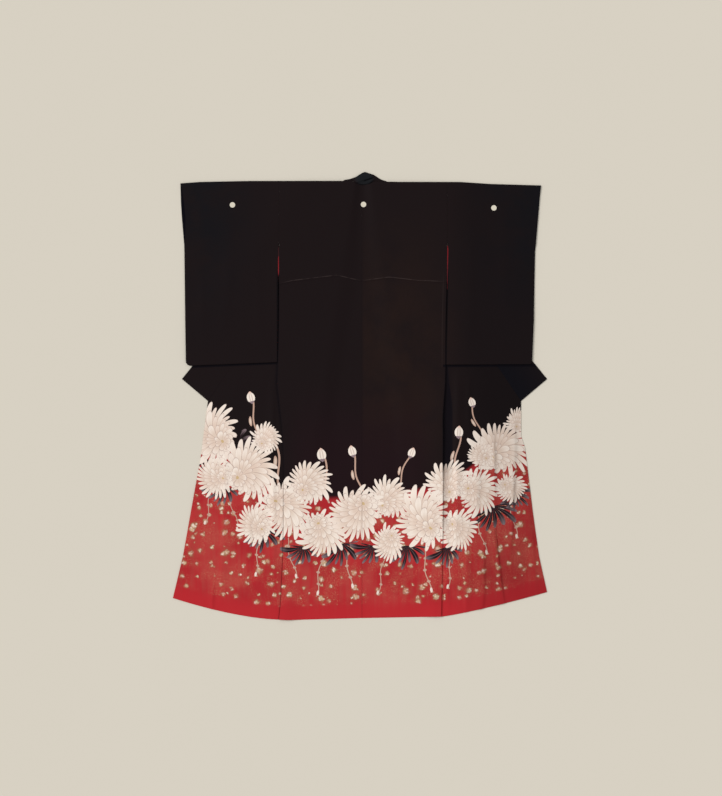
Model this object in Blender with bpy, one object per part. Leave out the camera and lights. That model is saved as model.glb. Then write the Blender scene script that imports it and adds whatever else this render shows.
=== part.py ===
"""Formal kimono of lined silk, spread flat on a surface with its back up.

Each front turns under the back along a slanting fold and comes out again beside it, right side up, with the
overlap panel and the square collar end beyond it. The sleeves are flat tubes beside the back.
Left and right are the viewer's, and the wearer's too. +X is right, +Y towards the shoulders, +Z up. The origin
is on the surface, at the middle of the outline. Everything is in metres.
"""

import bmesh
import bpy
import numpy as np


def table(columns, *rows):
    """Rows of numbers, kept as one array for each named column."""
    return dict(zip(columns.split(), np.array(rows).T))


# Thicknesses and the space between layers
CLOTH = 0.0015
COLLAR_CLOTH = 0.0022
LINING_CLOTH = 0.0010
SEAM_GAP = 0.0003
AIR = 0.0017
PLIES = CLOTH + AIR + CLOTH
OVER_FRONT = COLLAR_CLOTH + SEAM_GAP

# Body
CENTRE_X = 0.0072
ARMHOLE_END = 0.549
NECK_DROP = 0.0075
NECK_Y = 0.769
SHOULDER = table(
    "x y",
    (-0.650, 0.7674),
    (-0.578, 0.7728),
    (-0.397, 0.7764),
    (-0.072, 0.7764),
    (0.144, 0.7728),
    (0.361, 0.7728),
    (0.469, 0.7656),
    (0.654, 0.7601),
)
BACK_EDGES = table(
    "y left right",
    (-0.810, -0.2925, 0.2925),
    (-0.740, -0.2853, 0.2940),
    (-0.600, -0.2785, 0.2961),
    (-0.480, -0.2755, 0.2983),
    (-0.280, -0.2755, 0.2990),
    (-0.145, -0.2808, 0.2995),
    (-0.080, -0.2860, 0.2985),
    (-0.018, -0.2930, 0.3025),
    (0.043, -0.2997, 0.3075),
    (0.105, -0.2976, 0.3087),
    (0.200, -0.2945, 0.3088),
    (0.280, -0.2932, 0.3097),
    (0.400, -0.2925, 0.3128),
    (0.549, -0.2925, 0.3150),
    (0.780, -0.2925, 0.3142),
)
BACK_HEM = table("x y", (-0.289, -0.8071), (-0.260, -0.8089), (0.000, -0.8017), (0.2925, -0.7963))
TUCK_LINE = table(
    "x y",
    (-0.293, 0.404),
    (-0.246, 0.415),
    (-0.083, 0.435),
    (-0.033, 0.423),
    (0.007, 0.415),
    (0.105, 0.428),
    (0.209, 0.416),
    (0.303, 0.412),
)
TUCK_HALF_WIDTH = 0.003
TUCK_HEIGHT = 0.0012
SIDE_PUFF = dict(x=0.297, y=-0.12, height=0.006, width=0.055, length=0.24)

# Fronts, each with its overlap panel and collar end: "seam" is the front's own edge, "front" the overlap's
LEFT_FRONT = table(
    "y seam front",
    (-0.800, -0.5265, -0.6894),
    (-0.729, -0.5190, -0.6753),
    (-0.578, -0.5038, -0.6392),
    (-0.376, -0.4839, -0.6031),
    (-0.217, -0.4694, -0.5742),
    (-0.018, -0.4478, -0.5489),
    (0.166, -0.4260, -0.4260),
)
RIGHT_FRONT = table(
    "y seam front",
    (-0.800, 0.5255, 0.7028),
    (-0.708, 0.5160, 0.6753),
    (-0.578, 0.5019, 0.6464),
    (-0.412, 0.4875, 0.6230),
    (-0.188, 0.4830, 0.5958),
    (-0.144, 0.4820, 0.5814),
    (-0.018, 0.4767, 0.5814),
    (0.144, 0.4710, 0.4710),
)
SIDES = {
    "left": dict(
        sign=-1,
        edges=LEFT_FRONT,
        neck_x=-0.0231,
        corner=(-0.5489, -0.0180),
        collar_end=(-0.6428, 0.0614),
        collar_neck=(-0.0722, 0.7692),
        fold_hem=(-0.2793, -0.807),
        hem=dict(x=-0.2889, y=-0.8071, width=0.3864, rise=0.0777, power=1.6),
    ),
    "right": dict(
        sign=1,
        edges=RIGHT_FRONT,
        neck_x=0.0448,
        corner=(0.5814, -0.0180),
        collar_end=(0.6753, 0.0614),
        collar_neck=(0.1029, 0.7692),
        fold_hem=(0.2865, -0.797),
        hem=dict(x=0.2925, y=-0.7966, width=0.3828, rise=0.0888, power=1.2),
    ),
}
FRONT_TOP = 0.751
NOSE = (OVER_FRONT + CLOTH) / 2

# Soft folds that stand up from the fronts
FOLDS = table(
    "x_top y_top x_low y_low height half_width",
    (0.555, -0.10, 0.536, -0.62, 0.0060, 0.016),
    (0.487, -0.30, 0.526, -0.78, 0.0045, 0.015),
    (0.449, -0.38, 0.440, -0.77, 0.0045, 0.014),
    (0.374, -0.46, 0.352, -0.80, 0.0035, 0.013),
    (0.350, 0.09, 0.343, -0.52, 0.0055, 0.015),
    (-0.488, -0.20, -0.506, -0.76, 0.0030, 0.015),
    (-0.318, 0.06, -0.307, -0.62, 0.0030, 0.011),
)

# Collar round the neck, from the left neck side to the right
COLLAR_NECK = table(
    "inner_x inner_y outer_x outer_y cloth",
    (-0.0385, 0.7466, -0.0722, 0.7692, 0.0022),
    (-0.0335, 0.7650, -0.0640, 0.7750, 0.0022),
    (-0.0300, 0.7745, -0.0560, 0.7800, 0.0022),
    (-0.0243, 0.7745, -0.0361, 0.7836, 0.0022),
    (-0.0222, 0.7703, -0.0253, 0.7872, 0.0022),
    (-0.0150, 0.7661, -0.0144, 0.7908, 0.0024),
    (-0.0060, 0.7635, -0.0036, 0.7980, 0.0028),
    (0.0072, 0.7621, 0.0072, 0.8050, 0.0030),
    (0.0180, 0.7627, 0.0181, 0.8089, 0.0030),
    (0.0290, 0.7646, 0.0300, 0.8050, 0.0030),
    (0.0370, 0.7668, 0.0415, 0.8010, 0.0028),
    (0.0430, 0.7703, 0.0506, 0.7980, 0.0024),
    (0.0455, 0.7729, 0.0614, 0.7908, 0.0022),
    (0.0510, 0.7729, 0.0760, 0.7815, 0.0022),
    (0.0546, 0.7650, 0.0950, 0.7755, 0.0022),
    (0.0597, 0.7477, 0.1029, 0.7692, 0.0022),
)
COLLAR_ARM_PARTS = 5

# Sleeves. The cuff edges of the back and front plies differ where the cuff is open.
SLEEVES = {
    "left": dict(
        sign=-1,
        corner_radius=0.018,
        bottom=(0.1215, 0.1083),
        edges=table(
            "y inner back_ply front_ply",
            (0.108, -0.2983, -0.6283, -0.6283),
            (0.347, -0.2962, -0.6319, -0.6319),
            (0.530, -0.2962, -0.6340, -0.6340),
            (0.552, -0.2928, -0.6315, -0.6345),
            (0.650, -0.2928, -0.6301, -0.6428),
            (0.708, -0.2928, -0.6356, -0.6464),
            (0.780, -0.2928, -0.6464, -0.6485),
        ),
        lining=table(
            "y reach",
            (0.300, -0.0040),
            (0.420, 0.0005),
            (0.452, 0.0050),
            (0.480, 0.0058),
            (0.510, 0.0052),
            (0.540, 0.0045),
        ),
    ),
    "right": dict(
        sign=1,
        corner_radius=0.009,
        bottom=(0.1125, 0.1137),
        edges=table(
            "y inner back_ply front_ply",
            (0.112, 0.3096, 0.6211, 0.6211),
            (0.200, 0.3106, 0.6245, 0.6245),
            (0.280, 0.3124, 0.6275, 0.6275),
            (0.400, 0.3160, 0.6295, 0.6295),
            (0.530, 0.3187, 0.6320, 0.6320),
            (0.552, 0.3153, 0.6345, 0.6345),
            (0.650, 0.3150, 0.6420, 0.6428),
            (0.737, 0.3147, 0.6490, 0.6500),
            (0.780, 0.3145, 0.6545, 0.6545),
        ),
        lining=table(
            "y reach",
            (0.300, -0.0040),
            (0.400, 0.0010),
            (0.450, 0.0048),
            (0.494, 0.0060),
            (0.520, 0.0056),
            (0.543, 0.0045),
        ),
    ),
}
SLEEVE_EDGE = PLIES / 2
SLEEVE_ROWS_SEWN = (0.125, 0.20, 0.30, 0.40, 0.50, 0.624)
SLEEVE_ROWS_OPEN = (0.658, 0.74, 0.82, 0.91)
SLEEVE_COLUMNS = 6
LINING_DEPTH = 0.045

# How the height falls past a collar's outer edge, and past the fold under the back
RAMP_START = 0.07
RAMP = 0.12
RAMP_PAST_FOLD = 0.03

# Grid steps
ROWS_ABOVE_TUCK = (0.0, 0.072, 0.144, 0.185)
ROWS_BELOW_TUCK = (0.305, 0.345)
ROWS_BELOW_CORNER = (0.575, 0.638, 0.684, 0.745, 0.806, 0.867, 0.933, 1.0)
TUCK_LEVEL = 0.2257
TUCK_STEP = 0.0019
UNDER_COLUMNS = 3
FRONT_COLUMNS = 15
OVERLAP_COLUMNS = 7

SILK_BLACK = (0.010, 0.008, 0.009, 1.0)
LINING_RED = (0.360, 0.010, 0.022, 1.0)
UP = np.array((0.0, 0.0, 1.0))


def look_up(data, key, value, by="y"):
    return float(np.interp(value, data[by], data[key]))


def smooth(t):
    t = min(max(t, 0.0), 1.0)
    return t * t * (3 - 2 * t)


def mix(a, b, t):
    return a + (b - a) * t


def point(x, y, z):
    return np.array((x, y, z), float)


def lift(x, y):
    """Height of the second layer: on a front or the collar, and down on the surface well outside them."""
    side = SIDES["left" if x < CENTRE_X else "right"]
    (x0, y0), (x1, y1) = side["collar_neck"], side["collar_end"]
    run = np.hypot(x1 - x0, y1 - y0)
    outside = side["sign"] * ((x - x0) * (y0 - y1) + (y - y0) * (x1 - x0)) / run
    return OVER_FRONT * (1 - smooth((outside - RAMP_START) / RAMP))


def puff(x, y):
    """The soft swelling of the right side seam, beside the valley where the front tucks under."""
    across = (x - SIDE_PUFF["x"]) / SIDE_PUFF["width"]
    along = (y - SIDE_PUFF["y"]) / SIDE_PUFF["length"]
    return SIDE_PUFF["height"] * np.exp(-(across**2)) * smooth(1 - abs(along))


def fold_height(x, y):
    total = 0.0
    for row in zip(*FOLDS.values()):
        x_top, y_top, x_low, y_low, height, half_width = row
        t = (y_top - y) / (y_top - y_low)
        if 0 < t < 1:
            across = (x - mix(x_top, x_low, t)) / half_width
            total += height * np.sin(np.pi * t) ** 0.7 * np.exp(-(across**2))
    return total


def shoulder_y(x):
    return look_up(SHOULDER, "y", x, by="x")


def fold_x(side, y):
    """The slanting line along which a front turns under the back."""
    x_hem, y_hem = side["fold_hem"]
    return mix(side["neck_x"], x_hem, (NECK_Y - y) / (NECK_Y - y_hem))


def front_hem_y(side, x):
    hem = side["hem"]
    t = min(max(side["sign"] * (x - hem["x"]) / hem["width"], 0.0), 1.2)
    return hem["y"] + hem["rise"] * t ** hem["power"]


def collar_seam_x(side, y):
    x_corner, y_corner = side["corner"]
    return mix(x_corner, side["neck_x"], (y - y_corner) / (NECK_Y - y_corner))


def overlap_seam_x(side, y):
    """The front's outer edge: the collar seam down to the overlap's tip, then the overlap seam."""
    tip_y = side["edges"]["y"][-1]
    return collar_seam_x(side, y) if y > tip_y else look_up(side["edges"], "seam", y)


def overlap_front_x(side, y):
    corner_y = side["corner"][1]
    return collar_seam_x(side, y) if y > corner_y else look_up(side["edges"], "front", y)


def front_point(side, level, edge_x):
    """The point on an edge of a front at a level, from 0 at the neck to 1 at the hem."""
    y = mix(FRONT_TOP, side["hem"]["y"], level)
    for _ in range(12):
        y = mix(FRONT_TOP, front_hem_y(side, edge_x(side, y)), level)
    return edge_x(side, y), y


def level_of(side, x, y):
    return (FRONT_TOP - y) / (FRONT_TOP - front_hem_y(side, x))


def row_levels(side):
    tip_y = side["edges"]["y"][-1]
    tip = level_of(side, collar_seam_x(side, tip_y), tip_y)
    corner = level_of(side, *side["corner"])
    tuck = (TUCK_LEVEL - TUCK_STEP, TUCK_LEVEL, TUCK_LEVEL + TUCK_STEP)
    middle = (tip, mix(tip, corner, 0.33), mix(tip, corner, 0.67), corner)
    return ROWS_ABOVE_TUCK + tuck + ROWS_BELOW_TUCK + middle + ROWS_BELOW_CORNER


def body_y(x, level, top):
    """Height on the plan of a body row. The three rows of the waist tuck follow its arched line."""
    hem = look_up(BACK_HEM, "y", x, by="x")
    if abs(level - TUCK_LEVEL) < 1.5 * TUCK_STEP:
        return look_up(TUCK_LINE, "y", x, by="x") + (TUCK_LEVEL - level) / TUCK_STEP * TUCK_HALF_WIDTH
    return mix(top, hem, level)


def body_point(level, line, top):
    """The point of a body row on a line that runs down the body, where line(y) gives its x."""
    x, y = 0.0, mix(NECK_Y, BACK_HEM["y"][0], level)
    for _ in range(8):
        x = line(y)
        y = body_y(x, level, top(x))
    return x, y


def under_columns(side, level):
    """Plan points from the side seam to the fold, shared by the back and the ply turned under it."""
    name = "left" if side["sign"] < 0 else "right"

    def line(share):
        return lambda y: mix(look_up(BACK_EDGES, name, y), fold_x(side, y) + side["sign"] * NOSE, share)

    def top(x):
        return shoulder_y(x) - SLEEVE_EDGE

    return [body_point(level, line(i / UNDER_COLUMNS), top) for i in range(UNDER_COLUMNS + 1)]


def cloth_solid(name, patches, colour):
    """One closed solid from gridded skins. Each patch is (columns, rows, place), and place(i, j) gives a point
    of the skin and the way from there to the cloth's other face. Patches are sewn where their points meet."""
    bm = bmesh.new()
    way = bm.verts.layers.float_vector.new("way")
    for columns, rows, place in patches:
        made = bmesh.ops.create_grid(bm, x_segments=columns, y_segments=rows, size=0.5)
        for vertex in made["verts"]:
            i = round((vertex.co.x + 0.5) * columns)
            j = round((vertex.co.y + 0.5) * rows)
            at, across = place(i, j)
            vertex.co = at
            vertex[way] = across
    bmesh.ops.remove_doubles(bm, verts=bm.verts, dist=1e-6)
    extruded = bmesh.ops.extrude_face_region(bm, geom=bm.faces[:], use_keep_orig=True)
    for item in extruded["geom"]:
        if isinstance(item, bmesh.types.BMVert):
            item.co += item[way]
    bmesh.ops.recalc_face_normals(bm, faces=bm.faces)
    mesh = bpy.data.meshes.new(name)
    bm.to_mesh(mesh)
    bm.free()
    mesh.shade_smooth()
    mesh.set_sharp_from_angle(angle=0.6)
    mesh.materials.append(silk(name, colour))
    made_object = bpy.data.objects.new(name, mesh)
    bpy.context.scene.collection.objects.link(made_object)
    return made_object


def silk(name, colour):
    material = bpy.data.materials.new(name)
    material.use_nodes = True
    shader = material.node_tree.nodes["Principled BSDF"]
    shader.inputs["Base Color"].default_value = colour
    shader.inputs["Roughness"].default_value = 0.75
    shader.inputs["Metallic"].default_value = 0.0
    return material


def make_back(name, side):
    """Half of the back, from the centre seam to the side seam, with the sewn waist tuck."""
    levels = row_levels(side)
    sign = side["sign"]
    centre = CENTRE_X + sign * SEAM_GAP / 2
    neck_half = abs(side["neck_x"] - CENTRE_X)

    def neckline_y(x):
        return NECK_Y - NECK_DROP * max(0.0, 1 - ((x - CENTRE_X) / neck_half) ** 2)

    def inner_line(column):
        def line(y):
            start = fold_x(side, y) - sign * NOSE
            end = start - sign * min(RAMP_PAST_FOLD, 0.8 * abs(centre - start))
            return (start, mix(start, end, 0.5), end, mix(end, centre, 0.5), centre)[column]

        return line

    def place(i, j):
        level = levels[j]
        if i <= UNDER_COLUMNS:
            x, y = under_columns(side, level)[i]
            height = 1.0
        else:
            column = i - UNDER_COLUMNS - 1
            x, y = body_point(level, inner_line(column), neckline_y)
            height = (1.0, 0.5, 0.0, 0.0, 0.0)[column]
        if j == 0 and i <= UNDER_COLUMNS:
            y -= SEAM_GAP
        z = height * (lift(x, y) + CLOTH + AIR + puff(x, y))
        tuck = TUCK_HEIGHT if level == TUCK_LEVEL and 0 < i < UNDER_COLUMNS + 5 else 0.0
        return point(x, y, z), (CLOTH + tuck) * UP

    return cloth_solid(name, [(UNDER_COLUMNS + 5, len(levels) - 1, place)], SILK_BLACK)


def make_front(name, side):
    """A front: the ply turned under the back, the fold, and the part that lies on the surface."""
    levels = row_levels(side)
    sign = side["sign"]
    inward = point(-sign, 0, 0)

    def place(i, j):
        level = levels[j]
        under = under_columns(side, level)
        x_under, y_under = under[-1]
        if i <= UNDER_COLUMNS:
            x, y = under[i]
            return point(x, y, lift(x, y) + CLOTH + puff(x, y)), -CLOTH * UP
        y_start = mix(FRONT_TOP, side["hem"]["y"], level)
        x_start = x_under
        if i == UNDER_COLUMNS + 1:
            return point(x_under - sign * NOSE, (y_under + y_start) / 2, NOSE), -CLOTH * inward
        x_seam, y_seam = front_point(side, level, overlap_seam_x)
        t = (i - UNDER_COLUMNS - 2) / FRONT_COLUMNS
        x = mix(x_start, x_seam, t)
        y = mix(FRONT_TOP, front_hem_y(side, x), level)
        if t == 1:
            y = y_seam
        return point(x, y, fold_height(x, y)), CLOTH * UP

    def roll(i, j):
        x, y = under_columns(side, 0.0)[i]
        z = lift(x, y) + puff(x, y)
        if j == 0:
            return point(x, y, z + CLOTH), -CLOTH * UP
        if j == 1:
            return point(x, y + SLEEVE_EDGE - CLOTH, z + PLIES / 2), point(0, CLOTH, 0)
        return point(x, y, z + CLOTH + AIR), CLOTH * UP

    body = (UNDER_COLUMNS + 2 + FRONT_COLUMNS, len(levels) - 1, place)
    return cloth_solid(name, [body, (UNDER_COLUMNS, 2, roll)], SILK_BLACK)


def make_overlap(name, side):
    """The narrow panel beyond a front, from its tip on the collar seam to the hem."""
    tip_y = side["edges"]["y"][-1]
    tip = level_of(side, collar_seam_x(side, tip_y), tip_y)
    levels = [level for level in row_levels(side) if level >= tip]
    tip_drop = 0.0045
    gap = side["sign"] * SEAM_GAP

    def place(i, j):
        t = i / OVERLAP_COLUMNS
        if j == 0:
            y = tip_y - tip_drop
            x = mix(overlap_seam_x(side, y) + gap, collar_seam_x(side, y), t)
        else:
            x_seam = front_point(side, levels[j], overlap_seam_x)[0] + gap
            x = mix(x_seam, front_point(side, levels[j], overlap_front_x)[0], t)
            y = mix(FRONT_TOP, front_hem_y(side, x), levels[j])
        return point(x, y, fold_height(x, y)), CLOTH * UP

    return cloth_solid(name, [(OVERLAP_COLUMNS, len(levels) - 1, place)], SILK_BLACK)


def collar_sections():
    """Sections of the collar from its left end to its right end, as (inner point, outer point, thickness)."""
    neck = [((ix, iy), (ox, oy), cloth) for ix, iy, ox, oy, cloth in zip(*COLLAR_NECK.values())]

    def arm(side, near):
        (x0, y0), (x1, y1) = side["corner"], side["collar_end"]
        away = np.array((side["sign"] * 0.83, 0.56)) * SEAM_GAP
        start = (x0 + away[0], y0 + away[1]), (x1, y1)
        found = []
        for k in range(COLLAR_ARM_PARTS):
            t = k / COLLAR_ARM_PARTS
            inner = [mix(start[0][n], near[0][n], t) for n in (0, 1)]
            outer = [mix(start[1][n], near[1][n], t) for n in (0, 1)]
            found.append((inner, outer, COLLAR_CLOTH))
        return found

    left = arm(SIDES["left"], neck[0])
    right = arm(SIDES["right"], neck[-1])
    return left + neck + right[::-1]


def make_collar():
    """One band: two ends that lie on the surface and the part that stands out past the back of the neck."""
    sections = collar_sections()

    def place(i, j):
        inner, outer, cloth = sections[i]
        x, y = (mix(inner[n], outer[n], j / 2) for n in (0, 1))
        return point(x, y, 0.0), cloth * UP

    return cloth_solid("collar", [(len(sections) - 1, 2, place)], SILK_BLACK)


def sleeve_inner_x(name, y):
    """The edge of a sleeve beside the body: sewn down to the armhole's end, and a little open below it."""
    data = SLEEVES[name]
    if y >= ARMHOLE_END:
        return look_up(BACK_EDGES, name, y) + data["sign"] * SEAM_GAP
    return look_up(data["edges"], "inner", y)


def make_sleeve(name, side_name):
    """A flat tube folded at the shoulder, sewn along the bottom and along the cuff edge below the opening."""
    data = SLEEVES[side_name]
    sign, radius = data["sign"], data["corner_radius"]
    rows = SLEEVE_ROWS_SEWN + SLEEVE_ROWS_OPEN
    low = [("edge", 0.0), ("low", SLEEVE_EDGE), ("low", radius / 2 + SLEEVE_EDGE / 2), ("low", radius)]
    ply = low + [("level", level) for level in rows] + [("high", SLEEVE_EDGE)]
    ring = [("back", row) for row in ply] + [("fold", ("high", 0.0))] + [("front", row) for row in ply[::-1]]
    across = [i / SLEEVE_COLUMNS for i in range(SLEEVE_COLUMNS)]
    cuff_steps = (radius, radius / 2 + SLEEVE_EDGE / 2, SLEEVE_EDGE, 0.0)

    def place(i, j):
        ply_name, (kind, amount) = ring[j]
        sewn = kind in ("edge", "low") or (kind == "level" and amount in SLEEVE_ROWS_SEWN)
        column = "back_ply" if ply_name == "back" else "front_ply"
        t_guess = {"edge": 0.0, "low": 0.0, "high": 1.0}.get(kind, amount)
        y_guess = mix(data["bottom"][0], shoulder_y(sign * 0.3), t_guess)
        x_in = sleeve_inner_x(side_name, y_guess)
        x_out = look_up(data["edges"], column, y_guess)
        from_cuff = None
        if i < len(across):
            x = mix(x_in, x_out - sign * radius, across[i])
        else:
            from_cuff = cuff_steps[i - len(across)]
            x = x_out - sign * from_cuff
        share = min(max((x - x_in) / (x_out - x_in), 0.0), 1.0)
        bottom = mix(data["bottom"][0], data["bottom"][1], share)
        top = shoulder_y(x)
        from_bottom = amount if kind in ("edge", "low") else None
        if from_bottom is not None:
            y = bottom + from_bottom
        elif kind == "high":
            y = top - amount
        else:
            y = mix(bottom, top, amount)
        outward = np.zeros(3)
        at_edge = False
        if from_bottom is not None and from_cuff is not None:
            px, py = radius - from_cuff, radius - from_bottom
            reach = max(px, py)
            length = np.hypot(px, py)
            if length > 0:
                x += sign * (px * reach / length - px)
                y -= py * reach / length - py
                outward = point(sign * px / length, -py / length, 0)
            at_edge = reach >= radius - 1e-9
        elif from_bottom is not None:
            at_edge = from_bottom == 0
            outward = point(0, -1, 0)
        elif from_cuff is not None and sewn:
            at_edge = from_cuff == 0
            outward = point(sign, 0, 0)
        z = lift(x, y)
        if ply_name == "fold":
            return point(x, y, z + PLIES / 2), point(0, -CLOTH, 0)
        if at_edge:
            return point(x, y, z + PLIES / 2), -CLOTH * outward
        if ply_name == "back":
            return point(x, y, z + PLIES), -CLOTH * UP
        return point(x, y, z), CLOTH * UP

    columns = len(across) + len(cuff_steps) - 1
    return cloth_solid(name, [(columns, len(ring) - 1, place)], SILK_BLACK)


def make_lining(name, side_name):
    """The edge of a sleeve's red lining, which shows in the slit below the armhole."""
    data = SLEEVES[side_name]
    levels = data["lining"]["y"]

    def place(i, j):
        y = levels[j]
        edge = look_up(data["edges"], "inner", y)
        x = edge - data["sign"] * data["lining"]["reach"][j] + data["sign"] * LINING_DEPTH * i / 2
        return point(x, y, lift(x, y) + CLOTH + SEAM_GAP), LINING_CLOTH * UP

    return cloth_solid(name, [(2, len(levels) - 1, place)], LINING_RED)


def centre_on_origin():
    """Moves all the solids so that the middle of their outline is at the origin."""
    solids = list(bpy.data.objects)
    points = np.array([vertex.co[:] for solid in solids for vertex in solid.data.vertices])
    middle = (points.min(axis=0) + points.max(axis=0)) / 2
    for solid in solids:
        for vertex in solid.data.vertices:
            vertex.co.x -= middle[0]
            vertex.co.y -= middle[1]


def main():
    for item in list(bpy.data.objects):
        bpy.data.objects.remove(item, do_unlink=True)
    for side_name, side in SIDES.items():
        make_back("back_" + side_name, side)
        make_front("front_" + side_name, side)
        make_overlap("overlap_" + side_name, side)
        make_sleeve("sleeve_" + side_name, side_name)
        make_lining("sleeve_lining_" + side_name, side_name)
    make_collar()
    centre_on_origin()


main()
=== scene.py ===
"""Formal kimono of lined black silk, spread flat on a pale floor with its back up, seen from straight above."""

import math
from functools import partialmethod

import bmesh
import bpy
import numpy as np
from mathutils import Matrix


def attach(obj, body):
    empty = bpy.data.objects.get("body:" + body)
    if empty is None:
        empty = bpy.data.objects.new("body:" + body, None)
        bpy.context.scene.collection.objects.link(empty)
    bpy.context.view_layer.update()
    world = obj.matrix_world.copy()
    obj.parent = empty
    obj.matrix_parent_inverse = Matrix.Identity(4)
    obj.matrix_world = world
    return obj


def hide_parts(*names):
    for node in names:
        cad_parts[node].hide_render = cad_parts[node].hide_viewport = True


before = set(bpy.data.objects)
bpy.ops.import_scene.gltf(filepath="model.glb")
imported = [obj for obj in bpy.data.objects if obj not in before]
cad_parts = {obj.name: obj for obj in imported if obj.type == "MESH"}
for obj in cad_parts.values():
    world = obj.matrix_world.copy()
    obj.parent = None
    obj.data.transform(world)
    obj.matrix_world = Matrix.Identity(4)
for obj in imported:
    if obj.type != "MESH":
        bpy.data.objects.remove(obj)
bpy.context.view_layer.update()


def table(columns, *rows):
    """Rows of numbers, kept as one array for each named column."""
    return dict(zip(columns.split(), np.array(rows).T))


# The cut and how it lies, in metres. The floor is z = 0. SEAM_GAP is the gap between the solids at a seam, and
# SEWN the one that is left here. HALF is half the height of two plies, and NOSE that of a front's turned fold.
CLOTH = 0.0015
COLLAR_CLOTH = 0.0022
LINING_CLOTH = 0.001
SEAM_GAP = 0.0003
SEWN = 0.00003
AIR = 0.0017
PLIES = CLOTH + AIR + CLOTH
HALF = PLIES / 2
OVER_FRONT = COLLAR_CLOTH + SEAM_GAP
NOSE = (OVER_FRONT + CLOTH) / 2
CENTRE_X = 0.0072
ARMHOLE_END = 0.549
CUFF_OPENS = 0.545
NECK_Y = 0.769
FRONT_TOP = 0.751
HEM_Y = -0.805
TUCK_LEVEL = 0.2257
SLEEVE_DEPTH = 0.66
LINING_WIDTH = 0.045
FLOOR_Z = -0.0004
MOTIF_MARGIN = 0.009
FAR_OFF = 9.0
SPOT_RADIUS = 0.0098
BACK_SPOT = (0.0126, 0.6916)
SLEEVE_SPOTS = ((-0.4604, 0.6897), (0.4832, 0.6789))

SHOULDER = table(
    "x y",
    (-0.650, 0.7674), (-0.578, 0.7728), (-0.397, 0.7764), (-0.072, 0.7764),
    (0.144, 0.7728), (0.361, 0.7728), (0.469, 0.7656), (0.654, 0.7601),
)
BACK_EDGES = table(
    "y left right",
    (-0.810, -0.2925, 0.2925), (-0.740, -0.2853, 0.2940), (-0.600, -0.2785, 0.2961), (-0.480, -0.2755, 0.2983),
    (-0.280, -0.2755, 0.2990), (-0.145, -0.2808, 0.2995), (-0.080, -0.2860, 0.2985), (-0.018, -0.2930, 0.3025),
    (0.043, -0.2997, 0.3075), (0.105, -0.2976, 0.3087), (0.200, -0.2945, 0.3088), (0.280, -0.2932, 0.3097),
    (0.400, -0.2925, 0.3128), (0.549, -0.2925, 0.3150), (0.780, -0.2925, 0.3142),
)
NARROW_ROW = 4  # where the back is narrowest
BACK_HEM = table("x y", (-0.289, -0.8071), (-0.260, -0.8089), (0.000, -0.8017), (0.2925, -0.7963))
TUCK_LINE = table(
    "x y",
    (-0.293, 0.404), (-0.246, 0.415), (-0.083, 0.435), (-0.033, 0.423),
    (0.007, 0.415), (0.105, 0.428), (0.209, 0.416), (0.303, 0.412),
)
SIDE_PUFF = dict(x=0.297, y=-0.12, height=0.006, width=0.055, length=0.24)
LEFT_FRONT = table(
    "y seam front",
    (-0.800, -0.5265, -0.6894), (-0.729, -0.5190, -0.6753), (-0.578, -0.5038, -0.6392), (-0.376, -0.4839, -0.6031),
    (-0.217, -0.4694, -0.5742), (-0.018, -0.4478, -0.5489), (0.166, -0.4260, -0.4260),
)
RIGHT_FRONT = table(
    "y seam front",
    (-0.800, 0.5255, 0.7028), (-0.708, 0.5160, 0.6753), (-0.578, 0.5019, 0.6464), (-0.412, 0.4875, 0.6230),
    (-0.188, 0.4830, 0.5958), (-0.144, 0.4820, 0.5814), (-0.018, 0.4767, 0.5814), (0.144, 0.4710, 0.4710),
)
SIDES = {
    "left": dict(
        sign=-1,
        edges=LEFT_FRONT,
        neck_x=-0.0231,
        corner=(-0.5489, -0.0180),
        collar_end=(-0.6428, 0.0614),
        collar_neck=(-0.0722, 0.7692),
        fold_hem=(-0.2793, -0.807),
        hem=dict(x=-0.2889, y=-0.8071, width=0.3864, rise=0.0777, power=1.6),
    ),
    "right": dict(
        sign=1,
        edges=RIGHT_FRONT,
        neck_x=0.0448,
        corner=(0.5814, -0.0180),
        collar_end=(0.6753, 0.0614),
        collar_neck=(0.1029, 0.7692),
        fold_hem=(0.2865, -0.797),
        hem=dict(x=0.2925, y=-0.7966, width=0.3828, rise=0.0888, power=1.2),
    ),
}
SLEEVES = {
    "left": dict(
        sign=-1,
        corner=0.018,
        bottom=(0.1215, 0.1083),
        edges=table(
            "y inner back_ply front_ply",
            (0.108, -0.2983, -0.6283, -0.6283), (0.347, -0.2962, -0.6319, -0.6319),
            (0.530, -0.2962, -0.6340, -0.6340), (0.552, -0.2928, -0.6315, -0.6345),
            (0.650, -0.2928, -0.6301, -0.6428), (0.708, -0.2928, -0.6356, -0.6464),
            (0.780, -0.2928, -0.6464, -0.6485),
        ),
        lining=table(
            "y reach",
            (0.300, -0.0040), (0.420, 0.0005), (0.452, 0.0050), (0.480, 0.0058),
            (0.510, 0.0052), (0.540, 0.0045),
        ),
    ),
    "right": dict(
        sign=1,
        corner=0.009,
        bottom=(0.1125, 0.1137),
        edges=table(
            "y inner back_ply front_ply",
            (0.112, 0.3096, 0.6211, 0.6211), (0.200, 0.3106, 0.6245, 0.6245), (0.280, 0.3124, 0.6275, 0.6275),
            (0.400, 0.3160, 0.6295, 0.6295), (0.530, 0.3187, 0.6320, 0.6320), (0.552, 0.3153, 0.6345, 0.6345),
            (0.650, 0.3150, 0.6420, 0.6428), (0.737, 0.3147, 0.6490, 0.6500), (0.780, 0.3145, 0.6545, 0.6545),
        ),
        lining=table(
            "y reach",
            (0.300, -0.0040), (0.400, 0.0010), (0.450, 0.0048), (0.494, 0.0060),
            (0.520, 0.0056), (0.543, 0.0045),
        ),
    ),
}
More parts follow.
